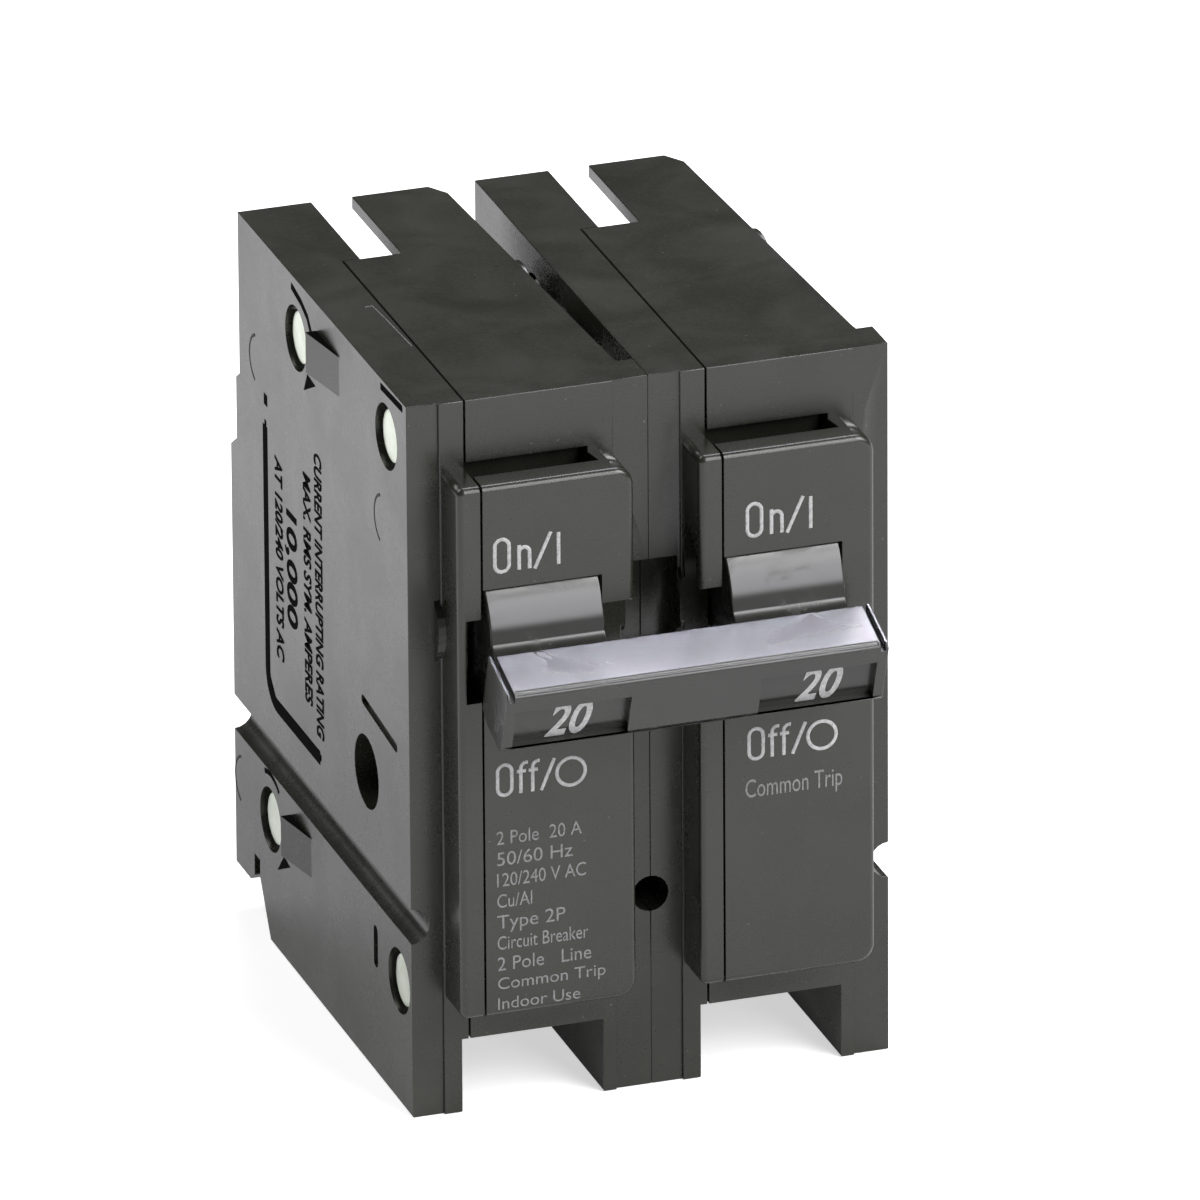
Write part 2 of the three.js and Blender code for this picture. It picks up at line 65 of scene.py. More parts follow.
right_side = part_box("right_case_base")[1].x
back_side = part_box("left_case_base")[1].y
origin = Vector((right_side - 2 * PITCH * MM, back_side - DEPTH * MM, 0))


def row(point):
    return origin + Vector(point) * MM


def case(vector):
    return (vector - origin) / MM


# ---------- meshes ----------
def mesh_of(name, points, faces):
    mesh = bpy.data.meshes.new(name)
    mesh.from_pydata([row(p) for p in points], [], faces)
    return mesh


def add(name, mesh, *materials):
    obj = bpy.data.objects.new(name, mesh)
    bpy.context.scene.collection.objects.link(obj)
    if materials:
        mesh.materials.clear()
        for material in materials:
            mesh.materials.append(material)
    return obj


def prism(outline, low, high, axis="x"):
    """Points and faces of an outline carried along an axis: (y, z) along x, or (x, y) along z."""
    n = len(outline)
    if axis == "x":
        points = [(end, u, v) for end in (low, high) for u, v in outline]
    else:
        points = [(u, v, end) for end in (low, high) for u, v in outline]
    faces = [tuple(range(n)), tuple(range(2 * n - 1, n - 1, -1))]
    faces += [(i, i + n, (i + 1) % n + n, (i + 1) % n) for i in range(n)]
    return points, faces


def rect(u0, u1, v0, v1):
    return [(u0, v0), (u1, v0), (u1, v1), (u0, v1)]


def evaluated(obj):
    """The object's mesh with its modifiers applied."""
    graph = bpy.context.evaluated_depsgraph_get()
    graph.update()
    return bpy.data.meshes.new_from_object(
        obj.evaluated_get(graph), preserve_all_data_layers=True, depsgraph=graph)


def consistent(mesh):
    bm = bmesh.new()
    bm.from_mesh(mesh)
    bmesh.ops.recalc_face_normals(bm, faces=bm.faces)
    bm.to_mesh(mesh)
    bm.free()
    return mesh


def carve(mesh, cutters):
    """Cuts the cutters out of a mesh, one after another."""
    body = add("carve_body", mesh)
    tools = []
    for points, faces in cutters:
        tool = add("carve_tool", consistent(mesh_of("tool", points, faces)))
        tools.append(tool)
        modifier = body.modifiers.new("cut", "BOOLEAN")
        modifier.operation = "DIFFERENCE"
        modifier.solver = "EXACT"
        modifier.object = tool
    result = evaluated(body)
    for obj in [body, *tools]:
        bpy.data.objects.remove(obj)
    return result


def cad_mesh(node, nudge=None):
    """A copy of a CAD node's mesh, with its points nudged in case mm."""
    bm = bmesh.new()
    bm.from_mesh(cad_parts[node].data)
    bmesh.ops.remove_doubles(bm, verts=bm.verts, dist=1e-6)
    if nudge:
        for vert in bm.verts:
            vert.co = row(nudge(case(vert.co)))
    mesh = bpy.data.meshes.new(node + "_skin")
    bm.to_mesh(mesh)
    bm.free()
    return mesh


def bevelled(mesh, width_of, segments=3, sharp=32):
    """Rounds the edges that width_of names, in mm, where the faces meet at sharp degrees or more."""
    bm = bmesh.new()
    bm.from_mesh(mesh)
    bmesh.ops.remove_doubles(bm, verts=bm.verts, dist=1e-6)
    bmesh.ops.dissolve_limit(bm, angle_limit=math.radians(0.8), verts=bm.verts, edges=bm.edges)
    bm.normal_update()
    layer = bm.edges.layers.float.new("bevel_weight_edge")
    widths = {}
    for edge in bm.edges:
        if len(edge.link_faces) != 2:
            continue
        angle = math.degrees(edge.calc_face_angle_signed(0))
        if angle < sharp:
            continue
        middle = case((edge.verts[0].co + edge.verts[1].co) / 2)
        widths[edge] = width_of(middle, edge)
    widest = max(widths.values())
    for edge, width in widths.items():
        edge[layer] = width / widest
    bm.to_mesh(mesh)
    bm.free()
    holder = add("bevel_body", mesh)
    modifier = holder.modifiers.new("round", "BEVEL")
    modifier.limit_method = "WEIGHT"
    modifier.width = widest * MM
    modifier.segments = segments
    modifier.use_clamp_overlap = False
    # The rounding faces take the second material, which paints a highlight along the edges.
    modifier.material = 1
    holder.data.materials.append(None)
    holder.data.materials.append(None)
    result = evaluated(holder)
    bpy.data.objects.remove(holder)
    return result


def crease(mesh, wanted):
    """Marks as sharp every bent edge whose middle, in case mm, is wanted."""
    bm = bmesh.new()
    bm.from_mesh(mesh)
    for edge in bm.edges:
        if len(edge.link_faces) == 2 and edge.calc_face_angle(0) > math.radians(3):
            if wanted(case((edge.verts[0].co + edge.verts[1].co) / 2)):
                edge.smooth = False
    bm.to_mesh(mesh)
    bm.free()


def smooth(mesh, sharp=32, creased=None):
    """Shades smooth up to an angle, with normals weighted by face area."""
    mesh.shade_smooth()
    mesh.set_sharp_from_angle(angle=math.radians(sharp))
    if creased:
        crease(mesh, creased)
    holder = add("smooth_body", mesh)
    modifier = holder.modifiers.new("weight", "WEIGHTED_NORMAL")
    modifier.keep_sharp = True
    modifier.weight = 80
    result = evaluated(holder)
    bpy.data.objects.remove(holder)
    return result


def stands_for(node, mesh, body, slot, *materials):
    obj = add(node + "_body", mesh, *materials)
    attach(obj, body)
    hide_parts(node)
    return obj


def lathe(name, profile, y, z, dx=0.0, sides=56):
    """A solid turned round an axis along x, from a profile of (radius, x) points."""
    points, faces, rings = [], [], []
    for r, x in profile:
        if r == 0:
            rings.append([len(points)] * sides)
            points.append((x + dx, y, z))
            continue
        rings.append([len(points) + i for i in range(sides)])
        turns = [2 * math.pi * i / sides for i in range(sides)]
        points += [(x + dx, y + r * math.cos(a), z + r * math.sin(a)) for a in turns]
    for first, second in zip(rings, rings[1:]):
        for i in range(sides):
            j = (i + 1) % sides
            corners = dict.fromkeys((first[i], first[j], second[j], second[i]))
            if len(corners) > 2:
                faces.append(tuple(corners))
    return consistent(mesh_of(name, points, faces))


# ---------- lettering ----------
def on_panel(x, z):
    """Maps a flat drawing to the panel's front face, with its lower left corner at x, z."""
    return lambda u, v, w: (x + u, PANEL_FACE - w, z + v)


def on_left_face(y, z):
    """Maps a flat drawing to the left face, where the lines read downwards."""
    return lambda u, v, w: (-w, y - v, z - u)


def side_view(y, z, w):
    """Maps a drawing in case coordinates to the left face."""
    return (-w, y, z)


def top_view(x, y, w):
    """Maps a drawing in case coordinates to the top."""
    return (x, y, HEIGHT + w)


def handle_turned(x, r, t):
    """A point given by its reach and height on the handle, which rests turned to Off."""
    angle = math.radians(OFF_ANGLE)
    y, z = PIVOT
    return (x, y - r * math.cos(angle) - t * math.sin(angle),
            z - r * math.sin(angle) + t * math.cos(angle))


def in_bar_window(x, t):
    """Maps a flat drawing to the floor of a window in the bar."""
    return lambda u, v, w: handle_turned(x + u, BAR["front"] - BAR["window"] + w, t + v)


def flat_mesh(data):
    """The mesh of a curve or text, in its own flat units."""
    holder = bpy.data.objects.new("drawing", data)
    bpy.context.scene.collection.objects.link(holder)
    mesh = evaluated(holder)
    bpy.data.objects.remove(holder)
    return mesh


def type_mesh(text, bold=0.0, slant=0.0):
    data = bpy.data.curves.new("type", "FONT")
    data.body = text
    data.offset = bold
    data.shear = slant
    data.resolution_u = 4
    data.extrude = 0.5
    return flat_mesh(data)


CAP = max(v.co.y for v in type_mesh("H").vertices)
INK = 0.035


def letter(name, text, place, width, height, print_and_shade_look, body="case", **style):
    """Sets text of a given width and capital height, in mm, as a thin raised print, which also serves
    as painted shade.
    """
    mesh = type_mesh(text, **style)
    left = min(v.co.x for v in mesh.vertices)
    span = max(v.co.x for v in mesh.vertices) - left
    for vert in mesh.vertices:
        u = (vert.co.x - left) * width / span
        vert.co = row(place(u, vert.co.y * height / CAP, vert.co.z * 2 * INK))
    return print_and_shade_piece(name, mesh, print_and_shade_look, body)


def print_and_shade_piece(name, mesh, print_and_shade_look, body):
    obj = add(name, consistent(mesh), print_and_shade_look)
    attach(obj, body)
    return obj


def arc(u, v, r, start, end, steps=14):
    angles = [math.radians(start + (end - start) * i / steps) for i in range(steps + 1)]
    return [(u + r * math.cos(a), v + r * math.sin(a)) for a in angles]


def stroke(name, paths, place, width, print_and_shade_look, body="case"):
    """Draws lines of even width with round ends, as a thin raised print, which also serves as painted
    shade.
    """
    data = bpy.data.curves.new("strokes", "CURVE")
    data.dimensions = "3D"
    data.bevel_depth = width / 2
    data.bevel_resolution = 2
    data.use_fill_caps = True
    for path in paths:
        spline = data.splines.new("POLY")
        spline.points.add(len(path) - 1)
        for point, (u, v) in zip(spline.points, path):
            point.co = (u, v, 0, 1)
    mesh = flat_mesh(data)
    for vert in mesh.vertices:
        u, v, w = vert.co
        vert.co = row(place(u, v, w * 2 * INK / width))
    return print_and_shade_piece(name, mesh, print_and_shade_look, body)


def tall_round(w, h):
    """A narrow capital O."""
    r = w / 2
    return arc(r, h - r, r, 0, 180) + arc(r, r, r, 180, 360) + [(w, h - r)]


def letter_f(u, h):
    stem = [(u, 0), (u, h - 0.6)] + arc(u + 0.6, h - 0.6, 0.6, 180, 75, 6)
    return [stem, [(u - 0.42, h * 0.72), (u + 0.55, h * 0.72)]]


def word_on(h):
    n = [(2.55, 0), (2.55, h * 0.76)]
    arch = [(2.55, h * 0.52)] + arc(3.1, h * 0.52, 0.55, 180, 0, 10) + [(3.65, 0)]
    return [tall_round(1.5, h), n, arch, [(4.2, -0.1), (5.9, h + 0.15)], [(6.7, 0.05), (6.7, h)]]


def word_off(h):
    return [tall_round(1.5, h), *letter_f(2.45, h), *letter_f(3.7, h), [(4.6, 0), (6.0, h)],
            arc(7.75, h / 2 - 0.05, 1.5, 0, 360, 32)]


# ---------- materials ----------
class Look:
    """A procedural material: a Principled shader with noise in its colour, gloss and relief."""

    def __init__(self, name, metallic=0.0, **sockets):
        self.material = bpy.data.materials.new(name)
        self.material.use_nodes = True
        tree = self.material.node_tree
        self.nodes, self.links = tree.nodes, tree.links
        self.shader = self.nodes["Principled BSDF"]
        self.shader.inputs["Metallic"].default_value = metallic
        for socket, value in sockets.items():
            self.shader.inputs[socket.replace("_", " ")].default_value = value
        self.place = self.nodes.new("ShaderNodeTexCoord").outputs["Object"]
        self.height = None

    def noise(self, size, detail=3.0, roughness=0.5, distortion=0.0, stretch=(1, 1, 1)):
        """Noise whose features are about size mm across, drawn out by stretch."""
        mapping = self.nodes.new("ShaderNodeMapping")
        mapping.inputs["Scale"].default_value = [1 / s for s in stretch]
        self.links.new(self.place, mapping.inputs["Vector"])
        node = self.nodes.new("ShaderNodeTexNoise")
        node.inputs["Scale"].default_value = 1 / (size * MM)
        node.inputs["Detail"].default_value = detail
        node.inputs["Roughness"].default_value = roughness
        node.inputs["Distortion"].default_value = distortion
        self.links.new(mapping.outputs["Vector"], node.inputs["Vector"])
        return node.outputs["Fac"]

    def ranged(self, value, low, high, start=0.3, end=0.7):
        node = self.nodes.new("ShaderNodeMapRange")
        limits = {"From Min": start, "From Max": end, "To Min": low, "To Max": high}
        for socket, number in limits.items():
            node.inputs[socket].default_value = number
        self.links.new(value, node.inputs["Value"])
        return node.outputs["Result"]

    def blend(self, factor, first, second):
        """A colour from first to second as factor goes from 0 to 1."""
        node = self.nodes.new("ShaderNodeMix")
        node.data_type = "RGBA"
        self.links.new(factor, node.inputs["Factor"])
        for socket, colour in ((node.inputs[6], first), (node.inputs[7], second)):
            if hasattr(colour, "is_output"):
                self.links.new(colour, socket)
            else:
                socket.default_value = (*colour, 1)
        return node.outputs[2]

    def maths(self, operation, first, second):
        node = self.nodes.new("ShaderNodeMath")
        node.operation = operation
        for socket, value in zip(node.inputs, (first, second)):
            if hasattr(value, "is_output"):
                self.links.new(value, socket)
            else:
                socket.default_value = value
        return node.outputs[0]

    def colour(self, output):
        self.links.new(output, self.shader.inputs["Base Color"])

    def gloss(self, output):
        self.links.new(output, self.shader.inputs["Roughness"])

    def relief(self, output, depth, strength=1.0):
        """Adds bump of that depth in mm."""
        node = self.nodes.new("ShaderNodeBump")
        node.inputs["Strength"].default_value = strength
        node.inputs["Distance"].default_value = depth * MM
        self.links.new(output, node.inputs["Height"])
        if self.height:
            self.links.new(self.height, node.inputs["Normal"])
        self.height = node.outputs["Normal"]
        self.links.new(self.height, self.shader.inputs["Normal"])


def grey(value, warm=0.0):
    return (value * (1 + 0.2 * warm), value * (1 + 0.3 * warm), value * (1 - warm))


def moulded(name, tone, rough, warm=0.18, specks=True):
    """Moulded phenolic: faint flow mottling, fine grain, a few pale specks."""
    look = Look(name, IOR=1.55)
    flow = look.noise(9, detail=4, distortion=0.6)
    fine = look.noise(0.5, detail=2)
    base = look.blend(look.ranged(flow, 0, 1), grey(tone * 0.86, warm), grey(tone * 1.16, warm))
    if specks:
        dust = look.noise(0.42, detail=1, roughness=0.3)
        base = look.blend(look.ranged(dust, 0, 0.4, 0.78, 0.82), base, grey(0.14))
    look.colour(base)
    wear = look.maths("ADD", flow, look.maths("MULTIPLY", fine, 0.4))
    look.gloss(look.ranged(wear, rough - 0.05, rough + 0.07, 0.4, 1.0))
    look.relief(flow, 0.02)
    look.relief(fine, 0.0025)
    return look.material


def glossy(name, tone, low, high):
    """Polished toggle plastic with finger smudges in its shine."""
    look = Look(name, IOR=1.56)
    smudge = look.noise(7, detail=4, roughness=0.6, distortion=1.2, stretch=(1.8, 1, 1))
    fine = look.noise(0.6, detail=3, roughness=0.6)
    look.colour(look.blend(look.ranged(smudge, 0, 1), grey(tone, 0.1), grey(tone * 1.25, 0.1)))
    look.gloss(look.ranged(smudge, low, high, 0.52, 0.72))
    look.relief(smudge, 0.01)
    look.relief(fine, 0.0012)
    return look.material


def metal(name, first, second, low, high, grain=(1, 1, 1), size=1.2, depth=0.004):
    look = Look(name, metallic=1.0)
    cloud = look.noise(3.5, detail=4, roughness=0.6)
    lines = look.noise(size, detail=4, stretch=grain)
    look.colour(look.blend(look.ranged(cloud, 0, 1), first, second))
    look.gloss(look.ranged(lines, low, high))
    look.relief(lines, depth)
    return look.material


def print_and_shade_material(name, tone, shine=0.5):
    look = Look(name, Specular_IOR_Level=shine)
    patch = look.noise(0.35, detail=2, roughness=0.6)
    look.colour(look.blend(look.ranged(patch, 0, 1, 0.35, 0.6), grey(tone * 0.72), grey(tone)))
    look.gloss(look.ranged(patch, 0.6, 0.45))
    return look.material


BODY = moulded("thermoset_black", 0.017, 0.27, warm=0.22)
# Rounded case edges: a lighter tone than the faces, a painted highlight along them, with the lower
# roughness of rubbed edges.
BODY_EDGE_HIGHLIGHT = moulded("thermoset_rubbed_edge_highlight", 0.026, 0.2, specks=False)
TOGGLE = glossy("toggle_gloss", 0.018, 0.2, 0.5)
# The same painted highlight along the toggle edges, with a rubbed shine.
TOGGLE_EDGE_HIGHLIGHT = glossy("toggle_rubbed_edge_highlight", 0.026, 0.1, 0.2)
PRINT = print_and_shade_material("white_print", 0.42)
SMALL_PRINT = print_and_shade_material("worn_white_print", 0.2)
# Dark prints that paint the shade in the engraved lines, arrows and moulded letters of the left face.
PAINTED_SHADE = print_and_shade_material("painted_shade_marks", 0.01, 0.0)
# A fainter painted shade for the ejector outlines.
FAINT_PAINTED_SHADE = print_and_shade_material("faint_painted_shade", 0.03, 0.1)
COPPER = metal("copper", (0.72, 0.36, 0.2), (0.6, 0.27, 0.14), 0.22, 0.42)
SILVER = metal("contact_silver", (0.82, 0.81, 0.78), (0.68, 0.66, 0.62), 0.2, 0.4)
STEEL = metal("zinc_steel", (0.6, 0.6, 0.58), (0.48, 0.48, 0.45), 0.25, 0.48, grain=(6, 1, 1))
SPRING = metal("spring_steel", (0.44, 0.43, 0.42), (0.3, 0.3, 0.3), 0.22, 0.4, grain=(1, 1, 7))
RIVET = metal("rivet_metal", (0.8, 0.84, 0.76), (0.66, 0.72, 0.6), 0.3, 0.5, size=0.8)
BIMETAL = metal("bimetal", (0.62, 0.54, 0.44), (0.5, 0.44, 0.36), 0.3, 0.46, grain=(1, 1, 9))


def braided():
    """Stranded copper: two crossing sets of strands."""
    look = Look("copper_braid", metallic=1.0)
    waves = []
    for turn in (0.7, -0.7):
        mapping = look.nodes.new("ShaderNodeMapping")
        mapping.inputs["Rotation"].default_value = (turn, turn, 0)
        look.links.new(look.place, mapping.inputs["Vector"])
        wave = look.nodes.new("ShaderNodeTexWave")
        wave.inputs["Scale"].default_value = 900
        look.links.new(mapping.outputs["Vector"], wave.inputs["Vector"])
        waves.append(wave.outputs["Fac"])
    strands = look.maths("MAXIMUM", *waves)
    look.colour(look.blend(strands, (0.3, 0.12, 0.06), (0.78, 0.4, 0.22)))
    look.gloss(look.ranged(strands, 0.5, 0.3))
    look.relief(strands, 0.06)
    return look.material


BRAID = braided()


# ---------- case ----------
END = math.inf
MECHANISM_ROOM = ((2.5, 20.3), (2.1, 54.2), (8.3, 74.8))
JAW_ROOM = ((7.8, 19.5), (50, END), (53.9, END))
HANDLE_WINDOW = ((2.5, 20.3), (-4.6, 8), (41, 66))
TERMINAL_ROOM = ((4, 21), (8, END), (0.2, 12.8))
PANEL_CORNER = 2.3
ROUND = {"panel_rim": 0.68, "shortest": 0.02, "window_rim": 0.03, "seam": 0.06, "front_plane": 0.08,
         "side_recess": 0.05, "other": 0.16}
NEAR_SEAM = 0.2


def within(room, *point):
    return all(low < value < high for (low, high), value in zip(room, point))


def on_panel_rim(point, edge, dx):
    """True for an edge of the outline of the raised panel's front face."""
    x = point.x - dx
    on_seam = all(abs(case(v.co).x - dx - SEAM) < NEAR_SEAM for v in edge.verts)
    if abs(point.y - PANEL_FACE) > 0.02 or on_seam:
        return False
    near_top = point.z > PANEL["z1"] - PANEL_CORNER
    near_bottom = point.z < PANEL["z0"] + PANEL_CORNER
    near_left = x < PANEL["x0"] + 0.1
    near_right = x > PANEL["x1"] - 0.1
    return near_top or near_bottom or near_left or near_right


def case_width(dx):
    """Edge rounding in mm for the case halves of the pole at dx: 0 leaves an edge sharp."""

    def width(point, edge):
        x = point.x - dx
        if on_panel_rim(point, edge, dx):
            return ROUND["panel_rim"]
        spot = (x, point.y, point.z)
        if within(MECHANISM_ROOM, *spot) and not within(JAW_ROOM, *spot):
            return 0
        if within(HANDLE_WINDOW, *spot):
            return 0
        if edge.calc_length() < 0.5 * MM:
            return ROUND["shortest"]
        if point.y < -5 and 46 < point.z < 60:
            return ROUND["window_rim"]
        if within(TERMINAL_ROOM, *spot):
            return 0
        if abs(x - SEAM) < NEAR_SEAM:
            return ROUND["seam"]
        if -1.2 < point.y < 0.1:
            return ROUND["front_plane"]
        if x < 1.3 and 0.4 < point.y < 57.6 and 0.4 < point.z < 77.2:
            return ROUND["side_recess"]
        return ROUND["other"]

    return width


def on_wedge(point):
    """True round the two raised wedges on the outer face of the left pole."""
    margin = 0.2
    return point.x < 0.06 and any(
        y0 - margin < point.y < y1 + margin and z0 - margin < point.z < z1 + margin
        for y0, y1, z0, z1 in WEDGES)


def seam_gap(dx, half):
    """Draws the cover and the base back from each other along their seam."""
    half_gap = 0.1
    step = -half_gap if half == "cover" else half_gap

    def nudge(point):
        if abs(point.x - dx - SEAM) < 0.01:
            point = point.copy()
            point.x += step
        return point

    return nudge


def case_half(side, half):
    dx = SIDES[side]
    node = f"{side}_case_{half}"
    mesh = cad_mesh(node, seam_gap(dx, half))
    mesh = smooth(bevelled(mesh, case_width(dx)), creased=on_wedge)
    return stands_for(node, mesh, "case", "thermoset", BODY, BODY_EDGE_HIGHLIGHT)


for side in SIDES:
    for half in ("cover", "base"):
        case_half(side, half)

# ---------- handle group ----------
for side in SIDES:
    skin = smooth(bevelled(cad_mesh(f"{side}_handle"), lambda point, edge: 0.16), sharp=28)
    stands_for(f"{side}_handle", skin, "handles", "toggle", TOGGLE, TOGGLE_EDGE_HIGHLIGHT)


def bar_slot(x0, x1, r0, r1, t0, t1):
    """A cutter given on the handle bar by its reach and height from the pivot."""
    points, faces = prism(rect(r0, r1, t0, t1), x0, x1)
    return [handle_turned(x, r, t) for x, r, t in points], faces


def bar_slots():
    """Gaps beside the end caps, and the groove behind the bar's front edge."""
    x0, x1, front, top = BAR["x0"], BAR["x1"], BAR["front"], BAR["top"]
    gap, wall, deep, behind = 0.45, 0.35, 0.8, 9
    left, right = x0 + wall + gap + 0.3, x1 - wall - gap - 0.3
    return [
        bar_slot(x0 + wall, x0 + wall + gap, behind, front + 1, top - deep, top + 1),
        bar_slot(x1 - wall - gap, x1 - wall, behind, front + 1, top - deep, top + 1),
        bar_slot(left, right, front - 0.62, front - 0.46, top - 0.12, top + 1),
    ]


def bar_width(point, edge):
    """Edge rounding of the bar: fuller on the long front edge than round the slots."""
    return 0.3 if edge.calc_length() > 30 * MM else 0.09


skin = smooth(bevelled(carve(cad_mesh("handle_bar"), bar_slots()), bar_width))
stands_for("handle_bar", skin, "handles", "toggle", TOGGLE, TOGGLE_EDGE_HIGHLIGHT)

# ---------- rivets ----------
RIVET_PROFILE = [
    (0, 0.62), (0.9, 0.6), (2.2, 0.5), (2.5, 0.5), (2.72, 0.58), (2.8, 0.78), (2.8, 1.1), (1.7, 1.12),
    (1.7, BOSS_END + 0.05), (2.95, BOSS_END + 0.05), (3.05, BOSS_END + 0.2), (2.85, BOSS_END + 0.5),
    (2.3, BOSS_END + 0.75), (1.5, BOSS_END + 0.9), (0, BOSS_END + 0.97),
]
for side, dx in SIDES.items():
    for number, (y, z) in enumerate(RIVETS, 1):
        node = f"{side}_rivet_{number}"
        turned = smooth(lathe(node, RIVET_PROFILE, y, z, dx), sharp=40)
        stands_for(node, turned, "case", "rivet_metal", RIVET)

# ---------- prints and painted shade ---
# For each pole: the left end of its marks, their rise above the base line, and the left end
# of its number in the bar window.
MARK_PLACES = {"left": (7.35, 0.0, 10.0), "right": (33.95, 0.1, 36.4)}
ON_BASE, OFF_BASE, NUMBER_BASE = 60.9, 36.6, -2.36
for side, (x, rise, number_x) in MARK_PLACES.items():
    stroke(f"{side}_on_mark", word_on(3.5), on_panel(x, ON_BASE + rise), 0.42, PRINT)
    stroke(f"{side}_off_mark", word_off(3.3), on_panel(x + 0.1, OFF_BASE + rise), 0.4, PRINT)
    letter(f"{side}_amp_number", "20", in_bar_window(number_x, NUMBER_BASE), 4.85, 3.9, PRINT,
           "handles", bold=0.022, slant=0.3)

letter("common_trip_print", "Common Trip", on_panel(33.65, 32.55), 10.3, 1.95, SMALL_PRINT)

# Generic print on the left panel: text, width, and height of its base line.
RATING_LINES = [
    ("2 Pole  20 A", 9.0, 31.25), ("50/60 Hz", 8.0, 28.95), ("120/240 V AC", 9.4, 26.65),
    ("Cu/Al", 3.7, 24.35), ("Type 2P", 7.2, 22.05), ("Circuit Breaker", 9.6, 19.75),
    ("2 Pole   Line", 9.9, 17.45), ("Common Trip", 11.4, 15.4), ("Indoor Use", 8.7, 13.2),
]
for number, (text, width, z) in enumerate(RATING_LINES, 1):
    height = 1.45 if number < 8 else 1.25
    letter(f"rating_line_{number}", text, on_panel(7.3, z), width, height, SMALL_PRINT)

# Dark marks on the left face, painted shade in its engraved lines, arrows and ejector outlines:
# paths of (y, z) with the width of each line, then corners, then the centres of the ejector marks.
SIDE_SHADE_LINES = [
    ([(37.0, 76.35), (33.9, 75.75), (31.8, 74.9), (30.35, 73.3)], 0.85),
    ([(8.1, 76.75), (1.2, 76.95)], 0.8),
    (arc(46.1, 13.7, 5.1, 70, 125), 0.6), ([(46, 59.7), (46, 60.9)], 1.2),
    ([(46.3, 57.4), (46.3, 30.6)] + arc(43.2, 30.6, 3.1, 0, -90) + [(29.2, 27.5)], 1.6),
]
ARROWHEADS = [[(33.2, 66.4), (32.0, 68.6), (29.4, 68.3)], [(43.9, 9.0), (41.7, 11.4), (39.7, 11.0)]]
EJECTOR_MARKS = [(48.6, 63.6), (8.0, 62.2), (55.2, 14.2)]
for number, (path, width) in enumerate(SIDE_SHADE_LINES, 1):
    stroke(f"side_shade_line_{number}", [path], side_view, width, PAINTED_SHADE)
for number, outline in enumerate(ARROWHEADS, 1):
    print_and_shade_piece(f"arrowhead_{number}", mesh_of("arrowhead", *prism(outline, -INK, INK)), PAINTED_SHADE, "case")
stroke("top_scuff", [[(4.3, 26.2), (5.1, 26.3), (5.3, 22.8), (5.55, 15)]], top_view, 0.09, SMALL_PRINT)
# A dark sheet on the upper face of each wedge: painted shade, where the real wedge is undercut.
for number, (y0, y1, z0, z1) in enumerate(WEDGES, 1):
    outline = [(-0.05, y0), (-0.05, y1), (-1.16, y1)]
    undercut_shade = mesh_of("wedge_undercut_shade", *prism(outline, z1, z1 + INK, "z"))
    print_and_shade_piece(f"wedge_undercut_shade_{number}", undercut_shade, PAINTED_SHADE, "case")
for number, (y, z) in enumerate(EJECTOR_MARKS, 1):
    stroke(f"ejector_mark_{number}", [arc(y, z, 2.6, -70, 75, 30)], side_view, 0.34, FAINT_PAINTED_SHADE)

# Generic lettering moulded in the left face, drawn in dark print as painted shade of the moulded
# letters: text, length, and the y and z where it starts.
FACE_LINES = [
    ("CURRENT INTERRUPTING RATING", 31.2, 29.9, 61.0), ("MAX. RMS SYM. AMPERES", 25.2, 33.6, 57.3),
    ("10,000", 12.6, 39.2, 51.0), ("AT 120/240 VOLTS AC", 22.2, 42.9, 55.4),
]
for number, (text, length, y, z) in enumerate(FACE_LINES, 1):
    height = 3.1 if number == 3 else 2.2
    place = on_left_face(y + 0.2, z)
    letter(f"face_line_{number}", text, place, length, height, PAINTED_SHADE, bold=0.022)

# ---------- carried-over pieces ----------
# Materials, and edge rounding in mm, by what a node's name contains.
PLAIN = {
    "contact_arm": COPPER, "moving_contact": SILVER, "line_terminal": COPPER, "jaw_spring": SPRING,
    "stationary_contact": SILVER, "cradle": STEEL, "main_spring": SPRING, "bimetal": BIMETAL,
    "magnet_yoke": STEEL, "armature": STEEL, "braid": BRAID, "load_strap": COPPER,
    "wire_clamp": STEEL, "terminal_screw": STEEL, "calibration_screw": STEEL, "trip_bar": BODY,
    "joining_bushing": STEEL, "arc_plate": STEEL,
}
ROUNDED = {"terminal_screw": 0.14, "wire_clamp": 0.14, "load_strap": 0.12, "line_terminal": 0.12,
           "jaw_spring": 0.1, "joining_bushing": 0.2, "contact_arm": 0.1, "trip_bar": 0.1}


def soften(obj, width):
    """Rounds a carried-over piece's sharp edges by width mm, with modifiers only."""
    bevel = obj.modifiers.new("round", "BEVEL")
    bevel.limit_method = "ANGLE"
    bevel.angle_limit = math.radians(40)
    bevel.width = width * MM
    bevel.segments = 2
    weight = obj.modifiers.new("weight", "WEIGHTED_NORMAL")
    weight.keep_sharp = True


for name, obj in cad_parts.items():
    for key, look in PLAIN.items():
        if key in name:
            obj.data.materials.clear()
            obj.data.materials.append(look)
    for key, width in ROUNDED.items():
        if key in name:
            obj.data.shade_smooth()
            obj.data.set_sharp_from_angle(angle=math.radians(35))
            soften(obj, width)

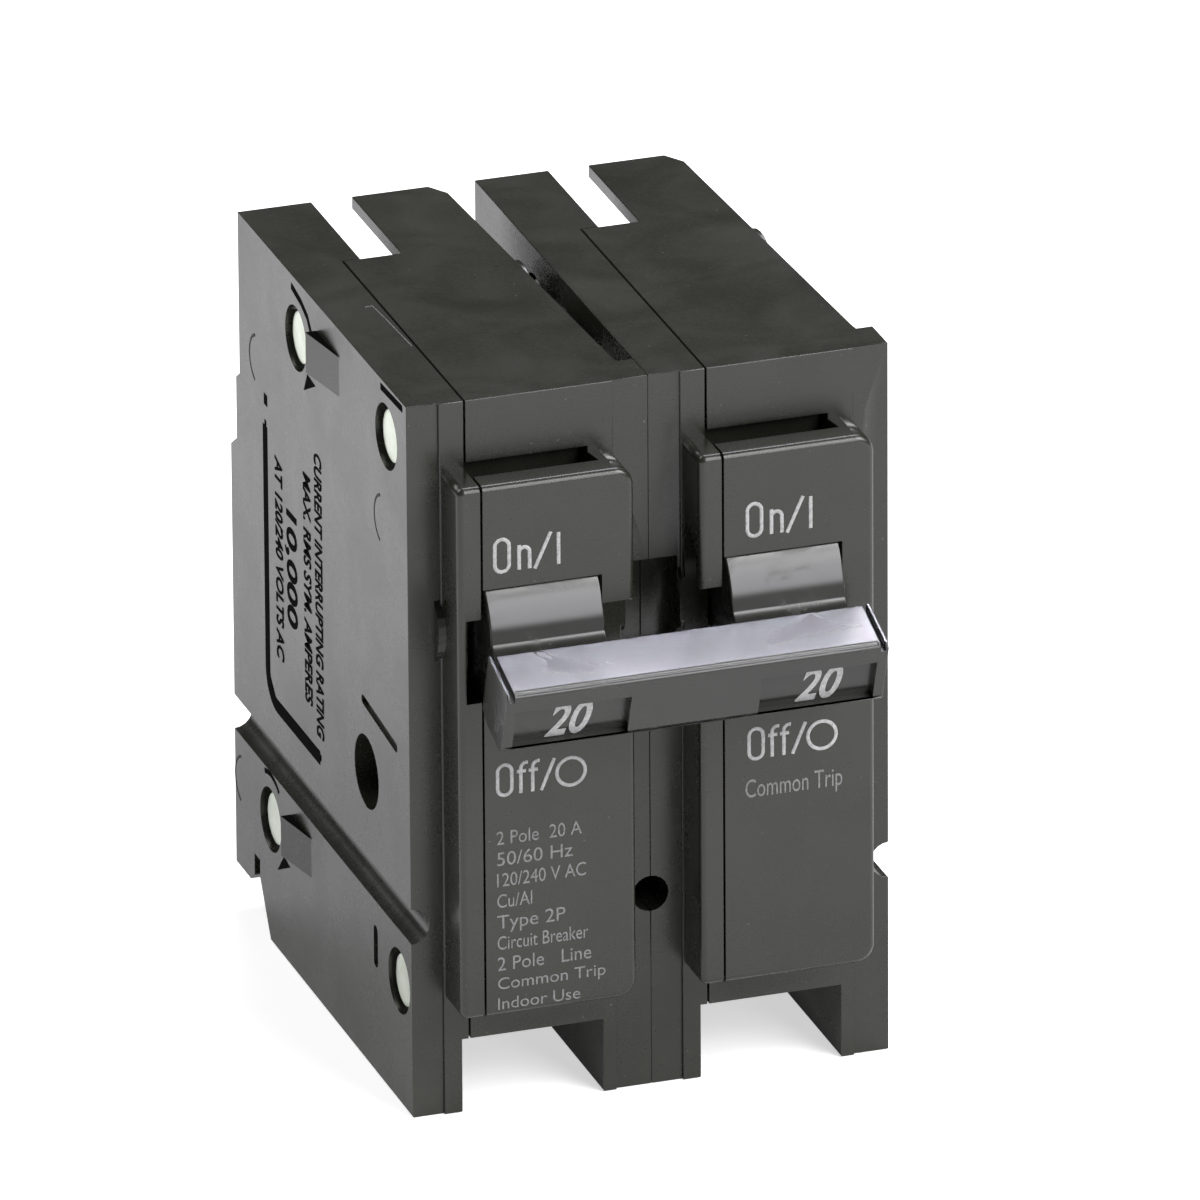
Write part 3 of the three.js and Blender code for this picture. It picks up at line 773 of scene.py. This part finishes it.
# ---------- stage ----------
floor_mesh = bpy.data.meshes.new("floor")
HALF = 4.0
floor_mesh.from_pydata(
    [(-HALF, -HALF, 0), (HALF, -HALF, 0), (HALF, HALF, 0), (-HALF, HALF, 0)], [], [(0, 1, 2, 3)])
floor = add("floor", floor_mesh)
floor.location.z = -0.00005     # just under the feet, so the two don't share a plane
floor_look = Look("pale_floor", Roughness=0.9, Specular_IOR_Level=0.0)
floor_look.shader.inputs["Base Color"].default_value = (0.84, 0.84, 0.84, 1)
floor_look.shader.inputs["Emission Color"].default_value = (1, 1, 1, 1)
seen = floor_look.nodes.new("ShaderNodeLightPath").outputs["Is Camera Ray"]
glow = floor_look.ranged(seen, 0.1, 0.6, 0, 1)
floor_look.links.new(glow, floor_look.shader.inputs["Emission Strength"])
floor_mesh.materials.append(floor_look.material)

AIM = Vector((0, 0, 0.038))


def softbox(name, direction, distance, width, height, radiance, colour=(1, 1, 1)):
    data = bpy.data.lights.new(name, "AREA")
    data.shape = "RECTANGLE"
    data.size, data.size_y = width, height
    data.energy = radiance * math.pi * width * height
    data.color = colour
    obj = bpy.data.objects.new(name, data)
    bpy.context.scene.collection.objects.link(obj)
    way = Vector(direction).normalized()
    obj.location = AIM + way * distance
    obj.rotation_mode = "QUATERNION"
    obj.rotation_quaternion = way.to_track_quat("Z", "Y")
    obj.visible_camera = False
    return obj


softbox("overhead", (0.29, 0.45, 0.84), 1.2, 0.56, 0.5, 9, (0.94, 0.92, 1.0))
softbox("front_strip", (0.29, -0.86, 0.4), 1.5, 0.34, 0.9, 7, (0.97, 0.96, 1.0))
softbox("front_right", (0.55, -0.52, 0.65), 1.5, 0.9, 0.9, 10.5)
softbox("back_left", (-0.52, 0.5, 0.7), 1.4, 0.8, 0.8, 5.5)
# This softbox lights the handles alone and isn't hidden by the panels above the bar.
handle_light = softbox("handle_light", (0.24, 0.5, 0.83), 1.2, 1.0, 0.7, 6.4, (0.87, 0.85, 1.0))
handle_only = bpy.data.collections.new("handle_only")
for name in ("handle_bar_body", "left_handle_body", "right_handle_body"):
    handle_only.objects.link(bpy.data.objects[name])
handle_light.light_linking.receiver_collection = handle_only
handle_light.light_linking.blocker_collection = handle_only
if hasattr(handle_light.data, "cycles"):
    handle_light.data.cycles.use_multiple_importance_sampling = False

world = bpy.data.worlds.new("studio")
world.use_nodes = True
world.node_tree.nodes["Background"].inputs["Color"].default_value = (0.05, 0.05, 0.05, 1)
bpy.context.scene.world = world
bpy.context.scene.view_settings.view_transform = "Standard"

# ---------- camera ----------
VIEW = {"azimuth": -18.548, "elevation": 23.223, "roll": -0.373, "lens": 683.74}
EYE = (-646.7, -1987.7, 953.5)

camera_data = bpy.data.cameras.new("camera")
camera_data.lens = VIEW["lens"]
camera_data.sensor_width = 36
camera_data.clip_start, camera_data.clip_end = 0.1, 20
camera = bpy.data.objects.new("camera", camera_data)
bpy.context.scene.collection.objects.link(camera)
azimuth, elevation, roll = (math.radians(VIEW[k]) for k in ("azimuth", "elevation", "roll"))
back = Vector((math.sin(azimuth) * math.cos(elevation), -math.cos(azimuth) * math.cos(elevation),
               math.sin(elevation)))
right = Vector((0, 0, 1)).cross(back).normalized()
up = back.cross(right)
right, up = (right * math.cos(roll) + up * math.sin(roll), up * math.cos(roll) - right * math.sin(roll))
camera.matrix_world = Matrix.Translation(row(EYE)) @ Matrix((right, up, back)).transposed().to_4x4()
bpy.context.scene.camera = camera
